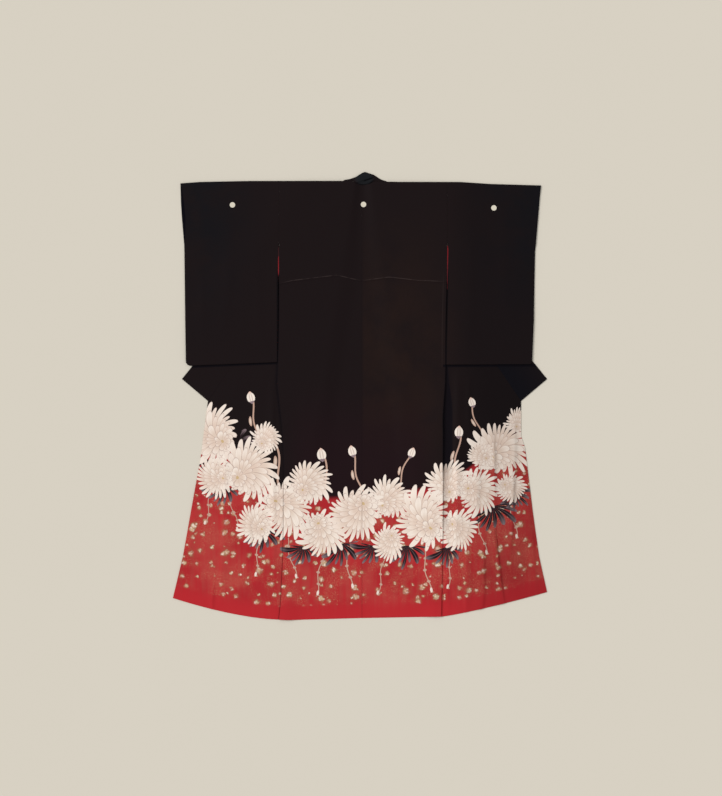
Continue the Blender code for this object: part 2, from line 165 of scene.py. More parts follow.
COLLAR_NECK = table(
    "inner_x inner_y outer_x outer_y cloth",
    (-0.0385, 0.7466, -0.0722, 0.7692, 0.0022),
    (-0.0335, 0.7650, -0.0640, 0.7750, 0.0022),
    (-0.0300, 0.7745, -0.0560, 0.7800, 0.0022),
    (-0.0243, 0.7745, -0.0361, 0.7836, 0.0022),
    (-0.0222, 0.7703, -0.0253, 0.7872, 0.0022),
    (-0.0150, 0.7661, -0.0144, 0.7908, 0.0024),
    (-0.0060, 0.7635, -0.0036, 0.7980, 0.0028),
    (0.0072, 0.7621, 0.0072, 0.8050, 0.0030),
    (0.0180, 0.7627, 0.0181, 0.8089, 0.0030),
    (0.0290, 0.7646, 0.0300, 0.8050, 0.0030),
    (0.0370, 0.7668, 0.0415, 0.8010, 0.0028),
    (0.0430, 0.7703, 0.0506, 0.7980, 0.0024),
    (0.0455, 0.7729, 0.0614, 0.7908, 0.0022),
    (0.0510, 0.7729, 0.0760, 0.7815, 0.0022),
    (0.0546, 0.7650, 0.0950, 0.7755, 0.0022),
    (0.0597, 0.7477, 0.1029, 0.7692, 0.0022),
)

# Soft folds and creases: where each starts and ends, how high it stands, its half width, its bow to one side,
# and its lean: above 0 its right side is the steep one
FRONT_FOLDS = table(
    "x_top y_top x_low y_low height half_width bow lean",
    (0.555, -0.08, 0.540, -0.60, 0.0080, 0.016, 0.006, 0.55),
    (0.480, -0.42, 0.526, -0.78, 0.0072, 0.014, -0.003, 0.70),
    (0.478, -0.10, 0.484, -0.44, 0.0062, 0.014, 0.004, 0.50),
    (0.449, -0.48, 0.440, -0.80, 0.0058, 0.012, 0.003, 0.60),
    (0.384, -0.50, 0.382, -0.80, 0.0042, 0.011, 0.0, -0.50),
    (0.424, -0.22, 0.420, -0.44, 0.0040, 0.013, 0.003, 0.40),
    (0.350, 0.09, 0.343, -0.56, 0.0055, 0.014, 0.002, -0.35),
    (0.596, -0.30, 0.640, -0.74, 0.0022, 0.012, 0.004, 0.50),
    (0.312, -0.44, 0.318, -0.80, 0.0026, 0.010, 0.0, 0.40),
    (0.395, 0.08, 0.402, -0.24, 0.0024, 0.011, -0.004, 0.40),
    (-0.488, -0.20, -0.506, -0.76, 0.0030, 0.014, 0.004, -0.40),
    (-0.528, -0.66, -0.532, -0.79, 0.0026, 0.008, 0.0, 0.60),
    (-0.318, 0.06, -0.307, -0.62, 0.0030, 0.011, 0.0, 0.40),
    (-0.400, -0.30, -0.412, -0.72, 0.0018, 0.014, 0.006, 0.40),
    (-0.590, -0.36, -0.622, -0.70, 0.0014, 0.012, -0.003, 0.30),
)
BACK_FOLDS = table(
    "x_top y_top x_low y_low height half_width bow lean",
    (-0.120, 0.10, -0.135, -0.60, 0.0010, 0.022, 0.010, 0.2),
    (0.150, 0.05, 0.165, -0.66, 0.0012, 0.020, -0.008, 0.3),
    (0.060, 0.40, 0.100, -0.30, 0.0007, 0.030, 0.012, 0.0),
    (-0.215, 0.36, -0.205, -0.10, 0.0008, 0.020, 0.006, 0.2),
    (0.245, 0.38, 0.232, -0.20, 0.0009, 0.018, 0.005, -0.2),
    (-0.060, -0.30, -0.070, -0.78, 0.0009, 0.018, -0.006, 0.3),
    (-0.262, -0.10, -0.262, -0.80, 0.0010, 0.012, 0.002, 0.5),
    (0.262, -0.30, 0.268, -0.79, 0.0012, 0.012, -0.002, -0.4),
)
SLEEVE_FOLDS = table(
    "x_top y_top x_low y_low height half_width bow lean",
    (-0.470, 0.70, -0.500, 0.20, 0.0009, 0.022, 0.014, 0.3),
    (-0.365, 0.56, -0.350, 0.14, 0.0008, 0.018, -0.008, 0.2),
    (-0.585, 0.50, -0.575, 0.16, 0.0007, 0.016, 0.006, -0.3),
    (0.400, 0.60, 0.385, 0.15, 0.0009, 0.020, 0.008, 0.3),
    (0.520, 0.68, 0.545, 0.22, 0.0009, 0.024, -0.012, -0.2),
)


# Sums on tables and curves
def look_up(data, key, value, by="y"):
    return np.interp(value, data[by], data[key])


def smooth(t):
    t = np.clip(t, 0.0, 1.0)
    return t * t * (3 - 2 * t)


def mix(a, b, t):
    return a + (b - a) * t


def ripple(x, y, size, seed):
    """Uneven soft hills, from -1 to 1: a sum of a few crossed waves."""
    total = 0.0
    for k in range(5):
        angle = seed * 1.7 + k * 2.39996
        step = 2 * math.pi / (size * (1 + 0.37 * k % 1.1))
        total = total + np.sin(step * (x * math.cos(angle) + y * math.sin(angle)) + seed * 5.1 + k * 1.3)
    return total / 3.2


def folds(data, x, y):
    """Height of soft ridges, each a little uneven along its length."""
    total = np.zeros_like(x * y)
    for k, row in enumerate(zip(*data.values())):
        x_top, y_top, x_low, y_low, height, half_width, bow, lean = row
        t = np.clip((y_top - y) / (y_top - y_low), 0.0, 1.0)
        hump = np.sin(np.pi * t)
        line = mix(x_top, x_low, t) + bow * hump + 0.0015 * np.sin(t * 11 + k * 2.1)
        width = half_width * (1 + 0.25 * np.sin(t * 7 + k)) * np.where(x < line, 1 + lean, 1 - lean)
        top = height * hump**0.7 * (1 + 0.12 * np.sin(t * 17 + k * 1.9))
        total = total + top * np.exp(-(((x - line) / width) ** 2))
    return total


def lift(x, y):
    """Height of the second layer: on a front or the collar, and down on the floor well outside them."""
    total = 0.0
    for side, here in ((SIDES["left"], x < CENTRE_X), (SIDES["right"], x >= CENTRE_X)):
        (x0, y0), (x1, y1) = side["collar_neck"], side["collar_end"]
        outside = side["sign"] * ((x - x0) * (y0 - y1) + (y - y0) * (x1 - x0)) / math.hypot(x1 - x0, y1 - y0)
        total = total + here * OVER_FRONT * (1 - smooth((outside - 0.07) / 0.12))
    return total


def puff(x, y):
    """The soft swelling of the right side seam."""
    across = (x - SIDE_PUFF["x"]) / SIDE_PUFF["width"]
    along = (y - SIDE_PUFF["y"]) / SIDE_PUFF["length"]
    return SIDE_PUFF["height"] * np.exp(-(across**2)) * smooth(1 - np.abs(along))


def shoulder_y(x):
    return look_up(SHOULDER, "y", x, by="x")


def back_hem_y(x):
    return look_up(BACK_HEM, "y", x, by="x")


def tuck_y(x):
    return look_up(TUCK_LINE, "y", x, by="x")


def fold_x(side, y):
    """The slanting line along which a front turns under the back."""
    x_hem, y_hem = side["fold_hem"]
    return mix(side["neck_x"], x_hem, (NECK_Y - y) / (NECK_Y - y_hem))


def front_hem_y(side, x):
    hem = side["hem"]
    t = np.clip(side["sign"] * (x - hem["x"]) / hem["width"], 0.0, 1.2)
    return hem["y"] + hem["rise"] * t ** hem["power"]


def collar_seam_x(side, y):
    x_corner, y_corner = side["corner"]
    return mix(x_corner, side["neck_x"], (y - y_corner) / (NECK_Y - y_corner))


def overlap_seam_x(side, y):
    """A front's outer edge: the collar seam down to the overlap's tip, then the overlap seam."""
    return np.where(y > side["edges"]["y"][-1], collar_seam_x(side, y), look_up(side["edges"], "seam", y))


def overlap_front_x(side, y):
    return np.where(y > side["corner"][1], collar_seam_x(side, y), look_up(side["edges"], "front", y))


def front_y(side, x, level):
    return mix(FRONT_TOP, front_hem_y(side, x), level)


def on_front(side, level, edge_x):
    """Points of an edge of a front, one for each level from 0 at the neck to 1 at the hem."""
    x = edge_x(side, mix(FRONT_TOP, side["hem"]["y"], level))
    for _ in range(14):
        x = edge_x(side, front_y(side, x, level))
    return x, front_y(side, x, level)


def filled(stops, step):
    """The stops with even steps put in between them."""
    found = [stops[0]]
    for a, b in zip(stops, stops[1:]):
        count = max(1, math.ceil((b - a) / step - 1e-6))
        found += [mix(a, b, k / count) for k in range(1, count + 1)]
    return np.array(found)


def front_stops(side):
    def level_of(x, y):
        return float((FRONT_TOP - y) / (FRONT_TOP - front_hem_y(side, x)))

    tip_y = side["edges"]["y"][-1]
    return level_of(collar_seam_x(side, tip_y), tip_y), level_of(*side["corner"])


# The dyed design. Each motif has its place, its radius and its turn, and is drawn on every panel that it meets.
BORDER = table(
    "x y",
    (-0.700, 0.020), (-0.560, -0.090), (-0.448, -0.200), (-0.350, -0.300),
    (-0.271, -0.350), (-0.108, -0.375), (0.072, -0.370), (0.325, -0.320),
    (0.430, -0.235), (0.510, -0.165), (0.589, -0.110), (0.700, -0.060),
)
BLOSSOMS = table(
    "x y radius turn",
    (-0.534, -0.137, 0.130, 2.5), (-0.401, -0.267, 0.137, 0.6), (-0.527, -0.293, 0.090, 3.0),
    (-0.339, -0.152, 0.069, 0.9), (-0.267, -0.404, 0.126, -0.6), (-0.379, -0.459, 0.090, 2.4),
    (-0.184, -0.311, 0.101, 0.9), (-0.137, -0.495, 0.105, -1.2), (-0.018, -0.423, 0.124, -2.3),
    (0.108, -0.372, 0.098, 0.7), (0.105, -0.531, 0.078, -1.9), (0.228, -0.441, 0.126, 2.2),
    (0.318, -0.311, 0.098, 1.7), (0.354, -0.488, 0.090, -0.9), (0.423, -0.347, 0.098, -0.4),
    (0.509, -0.191, 0.130, 0.8), (0.574, -0.090, 0.061, 1.2), (0.545, -0.332, 0.069, -0.5),
    (0.437, -0.213, 0.061, 2.6),
)
LEAVES = table(
    "x y radius turn",
    (-0.560, -0.224, 0.061, -1.90), (-0.491, -0.325, 0.090, -1.70), (-0.354, -0.484, 0.098, -1.40),
    (-0.206, -0.542, 0.090, -1.75), (-0.072, -0.534, 0.094, -1.30), (0.046, -0.540, 0.090, -1.90),
    (0.166, -0.540, 0.092, -1.50), (0.311, -0.545, 0.090, -1.35), (0.476, -0.399, 0.108, -1.20),
    (0.552, -0.354, 0.072, -1.10), (-0.444, -0.181, 0.072, -0.20),
)
STEMS = table(
    "x_low y_low x_tip y_tip rises",
    (-0.354, -0.166, -0.401, 0.022, 1), (-0.289, -0.339, -0.325, -0.101, 1),
    (-0.108, -0.394, -0.144, -0.181, 1), (0.018, -0.358, -0.036, -0.173, 1),
    (0.137, -0.347, 0.195, -0.181, 1), (0.350, -0.303, 0.358, -0.101, 1),
    (0.448, -0.159, 0.397, 0.000, 1), (-0.531, -0.332, -0.563, -0.469, 0),
    (-0.469, -0.358, -0.441, -0.491, 0), (-0.354, -0.502, -0.379, -0.657, 0),
    (-0.260, -0.506, -0.228, -0.664, 0), (-0.126, -0.556, -0.155, -0.726, 0),
    (-0.047, -0.527, -0.025, -0.701, 0), (0.094, -0.578, 0.061, -0.722, 0),
    (0.231, -0.542, 0.260, -0.715, 0), (0.343, -0.549, 0.314, -0.701, 0),
    (0.426, -0.419, 0.459, -0.578, 0), (0.545, -0.365, 0.567, -0.520, 0),
)


def stem_places():
    """Stems as motifs: the middle, half the length as the radius, and the turn."""
    run_x, run_y = STEMS["x_tip"] - STEMS["x_low"], STEMS["y_tip"] - STEMS["y_low"]
    x, y = STEMS["x_low"] + run_x / 2, STEMS["y_low"] + run_y / 2
    return dict(x=x, y=y, radius=np.hypot(run_x, run_y) / 2, turn=np.arctan2(run_y, run_x))


def split_in_layers(kind, motifs, width):
    """Puts motifs in layers, so that those of one layer stay apart."""
    layers = []
    for k in range(len(motifs["x"])):
        for layer in layers:
            apart = [math.hypot(motifs["x"][k] - motifs["x"][n], motifs["y"][k] - motifs["y"][n]) for n in layer]
            room = [(motifs["radius"][k] + motifs["radius"][n]) * width + 0.012 for n in layer]
            if all(a > r for a, r in zip(apart, room)):
                layer.append(k)
                break
        else:
            layers.append([k])
    return {"%s_%d" % (kind, n): layer for n, layer in enumerate(layers)}


# Each kind's places, its half width as a share of the radius, and the room that it keeps in its layer
MOTIFS = {"stems": (stem_places(), 0.3, 0.9), "leaves": (LEAVES, 1.0, 1.0), "blossoms": (BLOSSOMS, 1.0, 1.0)}
LAYERS = {kind: split_in_layers(kind, motifs, room) for kind, (motifs, _, room) in MOTIFS.items()}


def keep_vectors(mesh, name, domain, numbers):
    made = mesh.attributes.new(name, "FLOAT_VECTOR", domain)
    made.data.foreach_set("vector", numbers.astype(np.float32).ravel())


def mark_cloth(mesh, dyed):
    """Keeps at each corner its place on the design's motifs, and at each point how far it is from the red
    ground's border, from the hem, from the back's side edge, from the waist tuck and from the back beside it."""
    points = np.array([vertex.co[:] for vertex in mesh.vertices])
    x, y = points[:, 0], points[:, 1]
    hem = np.where(
        (x < BACK_EDGES["left"][NARROW_ROW]) | (x > BACK_EDGES["right"][NARROW_ROW]),
        np.where(x < 0, front_hem_y(SIDES["left"], x), front_hem_y(SIDES["right"], x)),
        back_hem_y(x),
    )
    from_edge = np.empty(len(points), np.float32)
    mesh.attributes["from_edge"].data.foreach_get("value", from_edge)
    from_tuck = np.where(from_edge < 0.4, y - tuck_y(x), 1.0)
    fields = {
        "field": (y - look_up(BORDER, "y", x, by="x"), y - hem, 0 * x),
        "lines": (from_edge, from_tuck, np.abs(x - CENTRE_X)),
        "beside": (x - look_up(BACK_EDGES, "right", y), look_up(BACK_EDGES, "left", y) - x, 0 * x),
    }
    for name, numbers in fields.items():
        keep_vectors(mesh, name, "POINT", np.stack(numbers, axis=-1))
    if not dyed:
        return
    corner_points = np.empty(len(mesh.loops), np.int32)
    mesh.loops.foreach_get("vertex_index", corner_points)
    counts = np.array([face.loop_total for face in mesh.polygons])
    middles = np.array([face.center[:2] for face in mesh.polygons])
    for kind, (motifs, width, _) in MOTIFS.items():
        for layer, members in LAYERS[kind].items():
            best = np.full(len(middles), np.inf)
            chosen = np.full(len(middles), -1)
            for k in members:
                u, v = on_motif(motifs, k, middles)
                reach = np.hypot(u, v) if width == 1.0 else np.maximum(np.abs(u), np.abs(v) / width)
                outside = (reach - 1) * motifs["radius"][k]
                closer = (outside < MOTIF_MARGIN) & (outside < best)
                best[closer], chosen[closer] = outside[closer], k
            per_corner = np.repeat(chosen, counts)
            local = np.full((len(mesh.loops), 3), FAR_OFF)
            for k in members:
                here = per_corner == k
                u, v = on_motif(motifs, k, points[corner_points[here], :2])
                sign = 1 if kind != "stems" or STEMS["rises"][k] else -1
                local[here] = vectors(u, v, sign * motifs["radius"][k])
            keep_vectors(mesh, layer, "CORNER", local)


def vectors(*parts):
    """Rows of numbers put together as vectors."""
    return np.stack(np.broadcast_arrays(*parts), axis=-1)


def on_motif(motifs, k, at):
    """Places as a motif sees them: from its middle, along its turn, in its own radius."""
    x, y = at[:, 0] - motifs["x"][k], at[:, 1] - motifs["y"][k]
    c, s = math.cos(motifs["turn"][k]), math.sin(motifs["turn"][k])
    return (x * c + y * s) / motifs["radius"][k], (y * c - x * s) / motifs["radius"][k]


def new_object(name, data):
    made = bpy.data.objects.new(name, data)
    bpy.context.scene.collection.objects.link(made)
    return made


# Cloth: a grid of points, and for each the way to the cloth's other face
def cloth(name, grids, finishes, body_slot, inner=None):
    """A closed thin shell in place of a solid, from gridded skins that are sewn where they meet. finishes are the
    outer and inner materials, and inner(x, is_second) tells which faces are the inner ones."""
    bm = bmesh.new()
    way = bm.verts.layers.float_vector.new("way")
    edge = bm.verts.layers.float.new("from_edge")
    for at, across, near in grids:
        rows, columns = at.shape[0] - 1, at.shape[1] - 1
        made = bmesh.ops.create_grid(bm, x_segments=columns, y_segments=rows, size=0.5)
        for vertex in made["verts"]:
            i = round((vertex.co.x + 0.5) * columns)
            j = round((vertex.co.y + 0.5) * rows)
            vertex.co = at[j, i]
            vertex[way] = across[j, i]
            vertex[edge] = near[j, i]
    bmesh.ops.remove_doubles(bm, verts=bm.verts, dist=1e-6)
    bmesh.ops.recalc_face_normals(bm, faces=bm.faces)
    first = bm.faces[:]
    extruded = bmesh.ops.extrude_face_region(bm, geom=first, use_keep_orig=True)
    for item in extruded["geom"]:
        if isinstance(item, bmesh.types.BMVert):
            item.co += item[way]
    second = [item for item in extruded["geom"] if isinstance(item, bmesh.types.BMFace)]
    for faces, is_second in ((first, False), (second, True)):
        for face in faces:
            face.material_index = 1 if inner and inner(face.calc_center_median().x, is_second) else 0
    bmesh.ops.recalc_face_normals(bm, faces=bm.faces)
    mesh = bpy.data.meshes.new(name + "_silk")
    bm.to_mesh(mesh)
    bm.free()
    mesh.shade_smooth()
    mesh.set_sharp_from_angle(angle=0.9)
    for finish in finishes:
        mesh.materials.append(finish)
    mark_cloth(mesh, body_slot == "dyed_silk")
    piece = new_object(name + "_silk", mesh)
    soft = piece.modifiers.new("soft edge", "BEVEL")
    soft.width = 0.0005
    soft.segments = 2
    soft.limit_method = "ANGLE"
    soft.angle_limit = 1.0
    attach(piece, "root")
    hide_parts(name)
    return piece


def turned_down(x, is_second):
    """The inner faces of a panel that lies with its outer side up."""
    return not is_second


def grid(x, y, z, across, from_edge=0.5):
    """Puts a grid together: its points, their ways and how far each is from the back's side edge."""
    at = vectors(x, y, z)
    across = np.broadcast_to(np.asarray(across, float), at.shape)
    return at, across, from_edge + 0 * at[..., 0]


def back_grid(side, name):
    """Half of the back, carried over the shoulder to just under it."""
    sign = side["sign"]
    tip, corner = front_stops(side)
    fine = [TUCK_LEVEL + k / 1580 for k in (-4.0, -2.4, -1.2, -0.4, 0.4, 1.2, 2.4, 4.0)]
    levels = filled([0.0, 0.02, 0.10, 0.205, *fine, 0.25, tip, corner, 1.0], 0.0052)[:, None]
    share = np.concatenate((np.linspace(0, 0.13, 10), np.linspace(0.13, 1, 31)[1:]))[None, :]
    centre = CENTRE_X + sign * SEWN / 2
    neck_half = abs(side["neck_x"] - CENTRE_X)

    def row_y(x):
        bowl = look_up(COLLAR_NECK, "inner_y", x, by="inner_x") - 0.0001
        beside_neck = smooth((np.abs(x - CENTRE_X) - neck_half + 0.002) / 0.004)
        top = mix(bowl, shoulder_y(x) - HALF, beside_neck)
        y = mix(top, back_hem_y(x), levels)
        at_tuck = mix(top, back_hem_y(x), TUCK_LEVEL)
        follow = smooth(1 - np.abs(levels - TUCK_LEVEL) / 0.045)
        return y + follow * (tuck_y(x) - at_tuck)

    x = mix(centre, look_up(BACK_EDGES, name, mix(NECK_Y, HEM_Y, levels)), share)
    y = row_y(x)
    for _ in range(4):
        x = mix(centre, look_up(BACK_EDGES, name, y), share)
        y = row_y(x)
    inside = -sign * (x - fold_x(side, y)) - NOSE
    ramp = np.minimum(0.075, 0.9 * np.maximum(np.abs(fold_x(side, y) - centre) - NOSE, 0.001))
    height = 1 - smooth(inside / ramp)
    z = height * (lift(x, y) + CLOTH + AIR + puff(x, y))
    z = z + folds(BACK_FOLDS, x, y) * smooth(inside / 0.02 + 3)
    from_tuck = (y - tuck_y(x)) / 0.0025
    tuck = 0.0012 * np.exp(-(from_tuck**2)) * smooth((np.abs(x - CENTRE_X)) / 0.004)
    return grid(x, y, z, vectors(0, 0, CLOTH + tuck), np.abs(x - x[:, -1:]))


def shoulder_grid(side, top_row):
    """The roll over the shoulder, from the back's top edge round to the ply under it."""
    at = top_row[np.abs(top_row[:, 0] - CENTRE_X) > abs(side["neck_x"] - CENTRE_X) + 0.0019]
    base = lift(at[:, 0], at[:, 1]) + puff(at[:, 0], at[:, 1]) + HALF
    angles = np.radians(np.linspace(90, -90, 9))[:, None]
    r = HALF - CLOTH
    x = at[None, :, 0] + 0 * angles
    y = at[None, :, 1] + r * np.cos(angles)
    z = base[None, :] + r * np.sin(angles)
    z[0] = at[:, 2]
    return grid(x, y, z, vectors(0 * z, CLOTH * np.cos(angles), CLOTH * np.sin(angles)))


def make_back(name, finishes):
    flat = back_grid(SIDES[name], name)
    roll = shoulder_grid(SIDES[name], flat[0][0])
    return cloth("back_" + name, [flat, roll], finishes, "dyed_silk", turned_down)


def front_grid(side, name):
    """A front: the ply turned under the back, the round fold and the part on the floor."""
    sign = side["sign"]
    tip, corner = front_stops(side)
    levels = filled([0.0, 0.02, tip, corner, 0.985, 1.0], 0.0065)[:, None]
    share = np.linspace(0, 1, 12)[None, :]
    y_ply = mix(NECK_Y, HEM_Y, levels)
    for _ in range(6):
        x_ply = mix(look_up(BACK_EDGES, name, y_ply), fold_x(side, y_ply) + sign * NOSE, share)
        y_ply = mix(shoulder_y(x_ply) - HALF - SEAM_GAP, back_hem_y(x_ply), levels)
    z_ply = lift(x_ply, y_ply) + CLOTH + puff(x_ply, y_ply)
    ways_ply = vectors(0 * z_ply, 0, -CLOTH)
    x_end, y_end = x_ply[:, -1:], y_ply[:, -1:]
    top_z = z_ply[:, -1:]
    x_seam, _ = on_front(side, levels, overlap_seam_x)
    out = np.linspace(0, 1, 66)[None, :]
    x_flap = mix(x_end, x_seam, out)
    y_flap = front_y(side, x_flap, levels)
    z_flap = folds(FRONT_FOLDS, x_flap, y_flap) + 0.0004 * (1 + ripple(x_flap, y_flap, 0.16, 3)) * smooth(out / 0.1)
    ways_flap = vectors(0 * z_flap, 0, CLOTH)
    turn = np.radians(np.linspace(90, -90, 9)[1:-1])[None, :]
    x_nose = x_end - sign * NOSE * np.cos(turn)
    y_nose = mix(y_end, y_flap[:, :1], (1 - np.sin(turn)) / 2)
    z_nose = top_z / 2 + top_z / 2 * np.sin(turn)
    ways_nose = vectors(sign * CLOTH * np.cos(turn), 0 * z_nose, -CLOTH * np.sin(turn))
    ply = x_ply, y_ply, z_ply, ways_ply
    nose = x_nose, y_nose, z_nose, ways_nose
    flap = x_flap, y_flap, z_flap, ways_flap
    return grid(*(np.concatenate(parts, axis=1) for parts in zip(ply, nose, flap)))


def make_front(name, finishes):
    return cloth("front_" + name, [front_grid(SIDES[name], name)], finishes, "dyed_silk", turned_down)


def make_overlap(name, finishes):
    side = SIDES[name]
    tip, corner = front_stops(side)
    levels = filled([tip + 0.0028, tip + 0.01, corner, 0.985, 1.0], 0.0065)[:, None]
    x_seam, _ = on_front(side, levels, overlap_seam_x)
    x_front, _ = on_front(side, levels, overlap_front_x)
    out = np.linspace(0, 1, 40)[None, :]
    x = mix(x_seam + side["sign"] * SEWN, x_front, out)
    y = front_y(side, x, levels)
    z = folds(FRONT_FOLDS, x, y) + 0.0004 * (1 + ripple(x, y, 0.16, 3))
    return cloth("overlap_" + name, [grid(x, y, z, (0, 0, CLOTH))], finishes, "dyed_silk", turned_down)


def make_collar(finishes):
    """The band with its two square ends, soft round edges, and its crown at the back of the neck."""
    neck = np.array(list(zip(*COLLAR_NECK.values())))

    def arm(side, near):
        away = np.array((side["sign"] * 0.83, 0.56)) * SEWN
        start = np.array((*(np.array(side["corner"]) + away), *side["collar_end"], COLLAR_CLOTH))
        return [mix(start, near, k / 90) for k in range(90)]

    rows = arm(SIDES["left"], neck[0]) + [neck[0]]
    for a, b in zip(neck, neck[1:]):
        rows += [mix(a, b, k / 3) for k in (1, 2, 3)]
    rows = np.array(rows + arm(SIDES["right"], neck[-1])[::-1])
    out = np.linspace(0, 1, 21)[None, :]
    x = mix(rows[:, 0:1], rows[:, 2:3], out)
    y = mix(rows[:, 1:2], rows[:, 3:4], out)
    lip = 0.7625 + 11.0 * (x - 0.0140) ** 2
    crease = 0.7767 + 0.34 * (x - 0.0152)
    near = smooth(1.6 - np.abs(x - 0.0170) / 0.028)
    roll = 0.0026 * np.exp(-(((y - lip - 0.005) / 0.0045) ** 2))
    crown = roll + 0.0030 * smooth((y - crease) / 0.0035) * smooth((0.806 - y) / 0.012)
    ways = vectors(0, 0, rows[:, 4:5] + near * crown)
    return cloth("collar", [grid(x, y, 0, ways)], finishes, "black_silk")


def sleeve_ply(name, column):
    """Plan of one ply of a sleeve, from the bottom row up, and how its cloth leans at the closed edges."""
    data = SLEEVES[name]
    sign, radius = data["sign"], data["corner"]
    rim = HALF * (1 - np.cos(np.radians((0, 30, 60, 90))))
    rise = np.concatenate((rim, np.linspace(HALF, radius, 4)[1:]))
    cuff = rise[::-1]
    along = filled([1.3 * radius / SLEEVE_DEPTH, 0.624, 0.658, 1.0 - 1.5 * HALF / SLEEVE_DEPTH], 0.012)
    share = np.linspace(0, 1, 33)[None, :-1]

    def edges(y):
        inner = np.where(
            y >= ARMHOLE_END, look_up(BACK_EDGES, name, y) + sign * SEAM_GAP, look_up(data["edges"], "inner", y)
        )
        return inner, look_up(data["edges"], column, y)

    def place(bottom_rise, level, top_drop):
        y = mix(data["bottom"][0], shoulder_y(sign * 0.3), level) + bottom_rise - top_drop
        y = y + np.zeros((1, share.shape[1] + len(cuff)))
        for _ in range(3):
            inner, outer = edges(y[:, :1])
            across = mix(inner, outer - sign * radius, share)
            x = np.concatenate((across, outer - sign * cuff[None, :]), axis=1)
            part = np.clip((x - inner) / (outer - inner), 0, 1)
            low = mix(data["bottom"][0], data["bottom"][1], part) + bottom_rise
            y = mix(low, shoulder_y(x) - top_drop, level)
        return x, y

    rows = [(height, 0.0, 0.0) for height in rise] + [(0.0, level, 0.0) for level in along]
    rows += [(0.0, 1.0, drop) for drop in rim[::-1]]
    x, y = (np.concatenate(part) for part in zip(*(place(*row) for row in rows)))
    px = np.zeros_like(x)
    px[:, -len(cuff):] = (radius - cuff)[None, :]
    py = np.zeros_like(x)
    py[:len(rise)] = (radius - rise)[:, None]
    reach, length = np.maximum(px, py), np.hypot(px, py)
    scale = np.where(length > 1e-9, reach / np.maximum(length, 1e-9), 1.0)
    x = x + sign * px * (scale - 1)
    y = y - py * (scale - 1)
    to_closed = radius - reach
    open_here = (y > CUFF_OPENS) & (px > 0)
    to_closed = np.where(open_here, HALF, to_closed)
    to_top = np.full_like(x, 1.0)
    to_top[-4:] = rim[::-1][:, None]
    facing = vectors(sign * px, -py) / np.maximum(length, 1e-9)[..., None]
    facing = np.where(open_here[..., None], 0.0, facing)
    near_top = to_top < HALF
    depth = np.where(near_top, to_top, np.minimum(to_closed, HALF))
    facing = np.where(near_top[..., None], np.array((0.0, 1.0)), facing)
    slope = 1 - np.clip(depth / HALF, 0, 1)
    return x, y, facing * slope[..., None], np.sqrt(np.maximum(0.0, 1 - slope**2))


def make_sleeve(name, finishes):
    """A flat tube: two plies, round at the shoulder, the bottom and the sewn part of the cuff edge."""
    plies = []
    for column, upward in (("back_ply", 1), ("front_ply", -1)):
        x, y, lean, up = sleeve_ply(name, column)
        z = lift(x, y) + HALF + upward * HALF * up
        if upward > 0:
            z = z + folds(SLEEVE_FOLDS, x, y) * smooth((up - 0.5) * 2)
        ways = -CLOTH * np.concatenate((lean, (upward * up)[..., None]), axis=-1)
        plies.append((x, y, z, ways))
    tube = grid(*(np.concatenate((back, front[-2::-1])) for back, front in zip(*plies)))

    def in_tube(x, is_second):
        return is_second and abs(x) < 0.60

    return cloth("sleeve_" + name, [tube], finishes, "black_silk", in_tube)


def make_lining(name, finish):
    """The soft edge of the red lining in the slit below the armhole."""
    data = SLEEVES[name]
    y = np.linspace(data["lining"]["y"][0], data["lining"]["y"][-1], 60)[:, None]
    reach = look_up(data["lining"], "reach", y) + 0.0006 * np.sin(y * 230)
    edge = look_up(data["edges"], "inner", y) - data["sign"] * reach
    x = edge + data["sign"] * LINING_WIDTH * np.linspace(0, 1, 9)[None, :]
    z = lift(x, y) + CLOTH + SEAM_GAP
    return cloth("sleeve_lining_" + name, [grid(x, y, z, (0, 0, LINING_CLOTH))], [finish], "red_lining")


# Materials
class Value:
    """A socket of a material, which takes part in sums."""

    def __init__(self, tree, socket):
        self.tree = tree
        self.socket = socket

    def node(self, kind, *inputs, output=0, named=(), **settings):
        """Any other node: its kind, its inputs in order (None leaves one as it is), and its settings."""
        made = self.tree.nodes.new(kind)
        for key, value in settings.items():
            setattr(made, key, value)
        for socket, value in [*zip(made.inputs, inputs), *((made.inputs[key], value) for key, value in named)]:
            if isinstance(value, Value):
                self.tree.links.new(value.socket, socket)
            elif value is not None:
                socket.default_value = value
        return Value(self.tree, made.outputs[output])

    def math(self, operation, *others):
        return self.node("ShaderNodeMath", self, *others, operation=operation)

    def __rsub__(self, other):
        return self.node("ShaderNodeMath", other, self, operation="SUBTRACT")

    __add__ = __radd__ = partialmethod(math, "ADD")
    __sub__ = partialmethod(math, "SUBTRACT")
    __mul__ = __rmul__ = partialmethod(math, "MULTIPLY")
    __truediv__ = partialmethod(math, "DIVIDE")
    __pow__ = partialmethod(math, "POWER")
    __gt__ = partialmethod(math, "GREATER_THAN")
    __lt__ = partialmethod(math, "LESS_THAN")
    __abs__ = partialmethod(math, "ABSOLUTE")

    def soft(self, low, high):
        """From 0 at low to 1 at high, smoothly."""
        return self.node("ShaderNodeMapRange", self, low, high, 0.0, 1.0, interpolation_type="SMOOTHSTEP")

    def blend(self, first, second):
        """A colour between two, with this as the second's share."""
        return self.node("ShaderNodeMix", self, *[None] * 5, first, second, output=2, data_type="RGBA")

    def choose(self, first, second):
        """One of two numbers: the second where this is 1."""
        return self.node("ShaderNodeMix", self, None, first, second)

    def vector(self, operation, other=None):
        return self.node("ShaderNodeVectorMath", self, other, operation=operation)

    def parts(self):
        made = self.node("ShaderNodeSeparateXYZ", self)
        return [Value(self.tree, socket) for socket in made.socket.node.outputs]

    def noise(self, scale, detail=2.0, roughness=0.5):
        return self.node("ShaderNodeTexNoise", self, None, scale, detail, roughness)

    def attribute(self, name):
        return self.node("ShaderNodeAttribute", attribute_name=name)


